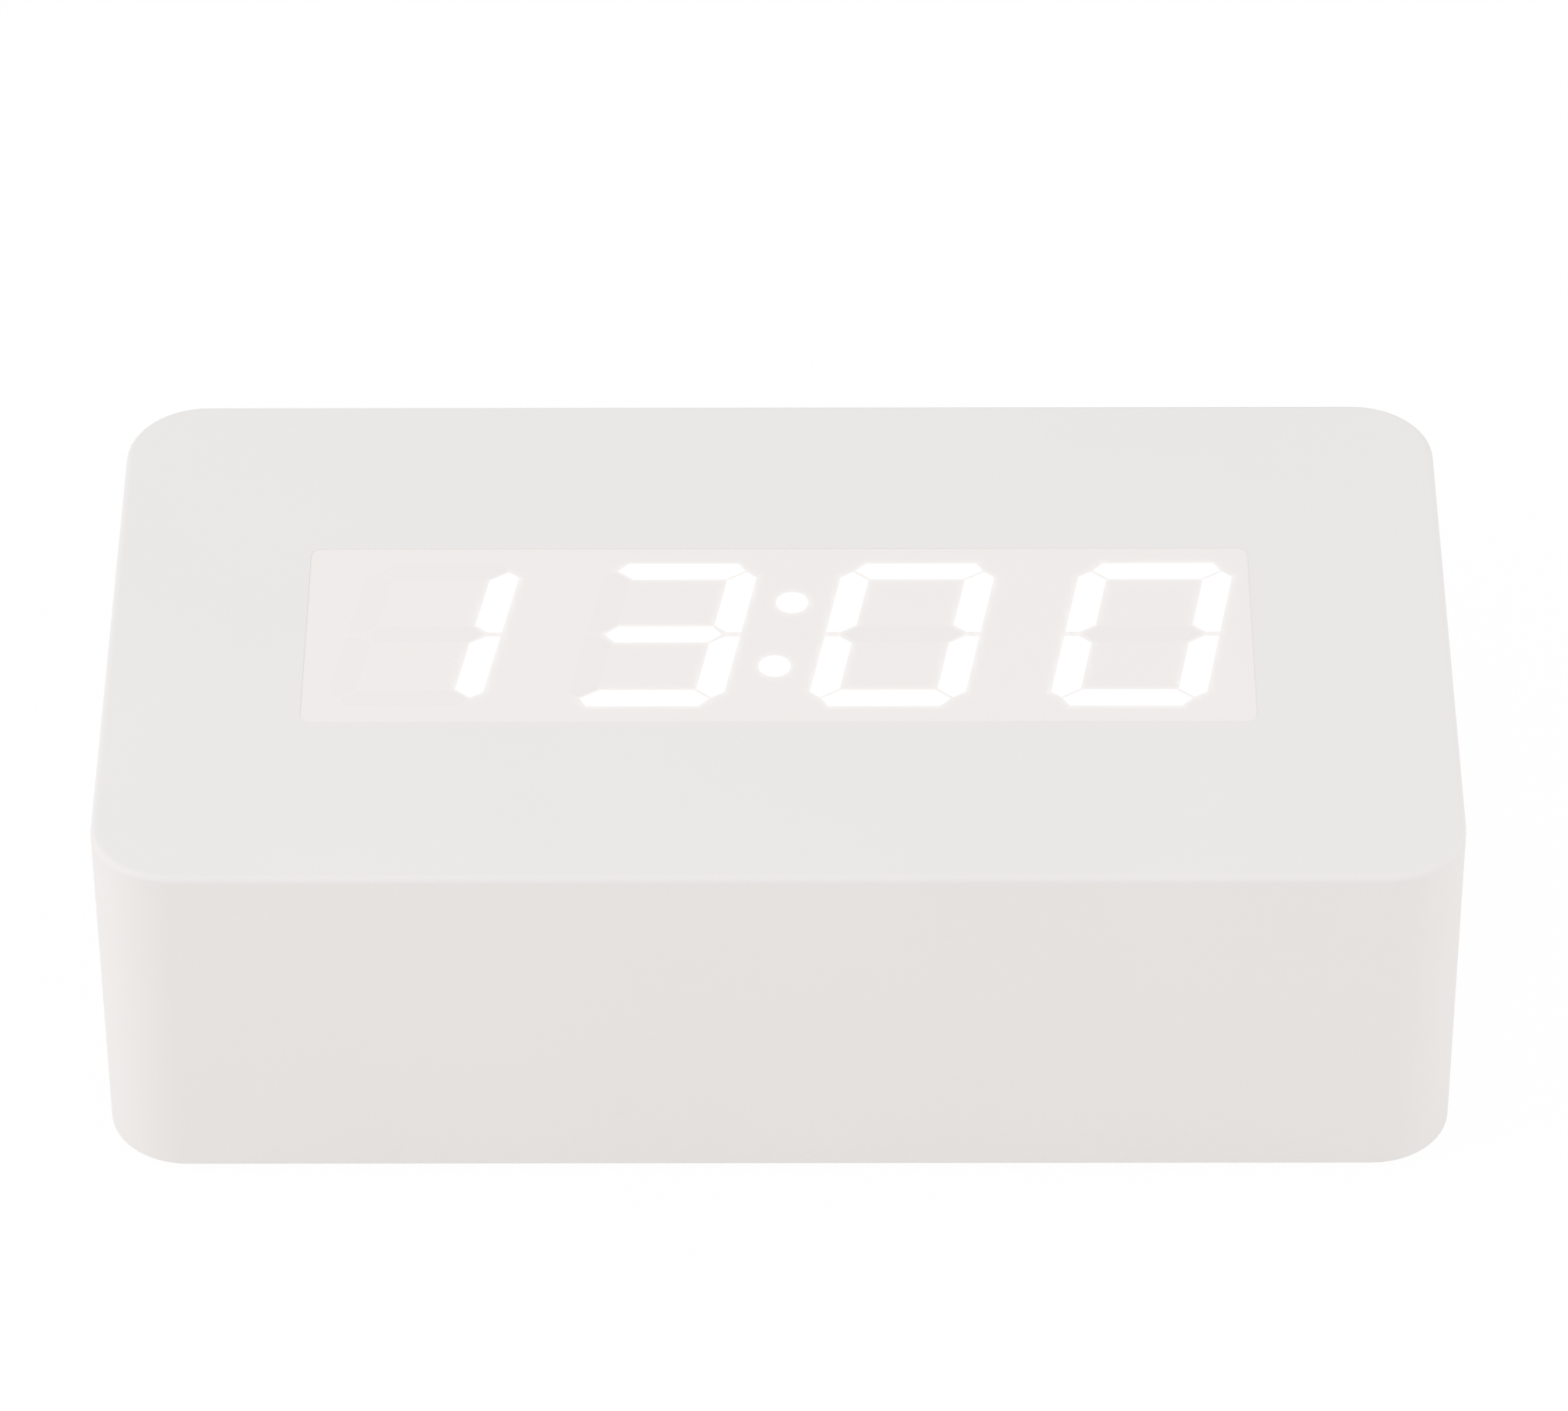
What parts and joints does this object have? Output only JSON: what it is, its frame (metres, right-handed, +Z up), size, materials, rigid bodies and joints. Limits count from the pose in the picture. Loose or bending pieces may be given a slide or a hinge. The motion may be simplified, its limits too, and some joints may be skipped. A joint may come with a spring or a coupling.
{
  "type": "projection alarm clock",
  "caption": "Low white block alarm clock with a lit seven-segment display in its top face, keys, sockets and a fold-out projector in its rear wall, and a coin-cell door underneath.",
  "frame": {"origin": "on the standing surface, under the middle of the block", "axes": "+X to the viewer's right along the block's length, +Y to the rear, +Z up"},
  "size_m": [0.15, 0.082, 0.0438],
  "materials": {
    "case_white": "fine matt moulded white ABS",
    "cover_white": "spark-textured moulded white ABS",
    "foot_rubber": "soft grey silicone",
    "screw_steel": "zinc-plated",
    "window_opal": "opal white diffuser",
    "segment_lit": "lit white light pipe",
    "segment_dark": "unlit light pipe",
    "reflector_white": "matt white",
    "led_chip": "phosphor",
    "board_green": "solder resist",
    "chip_black": "moulded epoxy",
    "foil_copper": "copper foil",
    "can_metal": "drawn can",
    "capacitor_sleeve": "shrink sleeve",
    "socket_cream": "nylon",
    "ribbon_grey": "flat cable",
    "key_white": "satin key cap",
    "plunger_black": "nylon",
    "slider_grey": "nylon",
    "shell_steel": "tin-plated steel",
    "jack_black": "moulded nylon",
    "contact_metal": "plated contact",
    "cell_steel": "stainless can",
    "basket_steel": "pressed and painted",
    "cone_paper": "pulp cone",
    "magnet_grey": "magnet pot",
    "wire_red": "insulated wire",
    "bay_white": "moulded white ABS",
    "head_white": "fine matt moulded white ABS",
    "ring_grey": "moulded",
    "tube_black": "matt black",
    "lens_glass": "polished",
    "mirror_glass": "front-silvered",
    "panel_glass": "negative display",
    "lamp_clear": "tinted epoxy"
  },
  "bodies": {
    "case": {"top_shell": "case_white", "bottom_cover": "cover_white", "rubber_feet": "foot_rubber", "case_screws": "screw_steel", "display_window": "window_opal", "lit_segments": "segment_lit", "dark_segments": "segment_dark", "reflector_block": "reflector_white", "segment_leds": "led_chip", "display_board": "board_green", "driver_chip": "chip_black", "touch_pad": "foil_copper", "main_board": "board_green", "board_screws": "screw_steel", "clock_chip": "chip_black", "crystal_can": "can_metal", "supply_capacitors": "capacitor_sleeve", "ribbon_sockets": "socket_cream", "ribbon_cable": "ribbon_grey", "key_board": "board_green", "tact_switches": "shell_steel", "board_header": "jack_black", "alarm_switch_body": "shell_steel", "usb_shell": "shell_steel", "usb_tongue": "jack_black", "jack_body": "jack_black", "jack_pin": "contact_metal", "coin_cell": "cell_steel", "cell_holder": "jack_black", "cell_contact": "contact_metal", "speaker_frame": "basket_steel", "speaker_cone": "cone_paper", "speaker_magnet": "magnet_grey", "speaker_leads": "wire_red", "projector_bay": "bay_white", "hinge_pins": "screw_steel", "projector_leads": "wire_red"},
    "projector_head": {"projector_front_shell": "head_white", "projector_back_shell": "head_white", "fold_mirror": "mirror_glass", "image_panel": "panel_glass", "condenser_lens": "lens_glass", "projector_lamp": "lamp_clear", "lamp_board": "board_green", "lamp_leads": "wire_red"},
    "focus_ring": {"focus_ring": "ring_grey"},
    "lens_tube": {"lens_tube": "tube_black", "projection_lens": "lens_glass"},
    "time_key": {"time_key": "key_white", "time_plunger": "plunger_black"},
    "alarm_key": {"alarm_key": "key_white", "alarm_plunger": "plunger_black"},
    "down_key": {"down_key": "key_white", "down_plunger": "plunger_black"},
    "up_key": {"up_key": "key_white", "up_plunger": "plunger_black"},
    "projector_key": {"projector_key": "key_white", "projector_plunger": "plunger_black"},
    "alarm_slider": {"alarm_slider": "slider_grey"},
    "battery_door": {"battery_door": "cover_white"}
  },
  "joints": [
    {"name": "projector_fold", "type": "hinge", "parent": "case", "child": "projector_head", "pos_m": [-0.042, 0.0358, 0.0342], "axis": [1, 0, 0], "range_deg": [0, 90]},
    {"name": "focus_turn", "type": "hinge", "parent": "projector_head", "child": "focus_ring", "pos_m": [-0.0315, 0.038, 0.0226], "axis": [0, 1, 0], "range_deg": [0, 90]},
    {"name": "lens_slide", "type": "slide", "parent": "projector_head", "child": "lens_tube", "axis": [0, 1, 0], "range_m": [0, 0.0012]},
    {"name": "alarm_slide", "type": "slide", "parent": "case", "child": "alarm_slider", "axis": [1, 0, 0], "range_m": [0, 0.003]},
    {"name": "battery_door_turn", "type": "hinge", "parent": "case", "child": "battery_door", "pos_m": [0.024, -0.004, 0.0009], "axis": [0, 0, -1], "range_deg": [0, 45]},
    {"name": "time_press", "type": "slide", "parent": "case", "child": "time_key", "axis": [0, -1, 0], "range_m": [0, 0.0008], "stiffness_N_per_m": 400, "springref_m": -0.0002},
    {"name": "alarm_press", "type": "slide", "parent": "case", "child": "alarm_key", "axis": [0, -1, 0], "range_m": [0, 0.0008], "stiffness_N_per_m": 400, "springref_m": -0.0002},
    {"name": "down_press", "type": "slide", "parent": "case", "child": "down_key", "axis": [0, -1, 0], "range_m": [0, 0.0008], "stiffness_N_per_m": 400, "springref_m": -0.0002},
    {"name": "up_press", "type": "slide", "parent": "case", "child": "up_key", "axis": [0, -1, 0], "range_m": [0, 0.0008], "stiffness_N_per_m": 400, "springref_m": -0.0002},
    {"name": "projector_press", "type": "slide", "parent": "case", "child": "projector_key", "axis": [0, -1, 0], "range_m": [0, 0.0008], "stiffness_N_per_m": 400, "springref_m": -0.0002}
  ],
  "couplings": [
    {"joint": "focus_turn", "follows": "lens_slide", "rad_per_m": 1305}
  ]
}
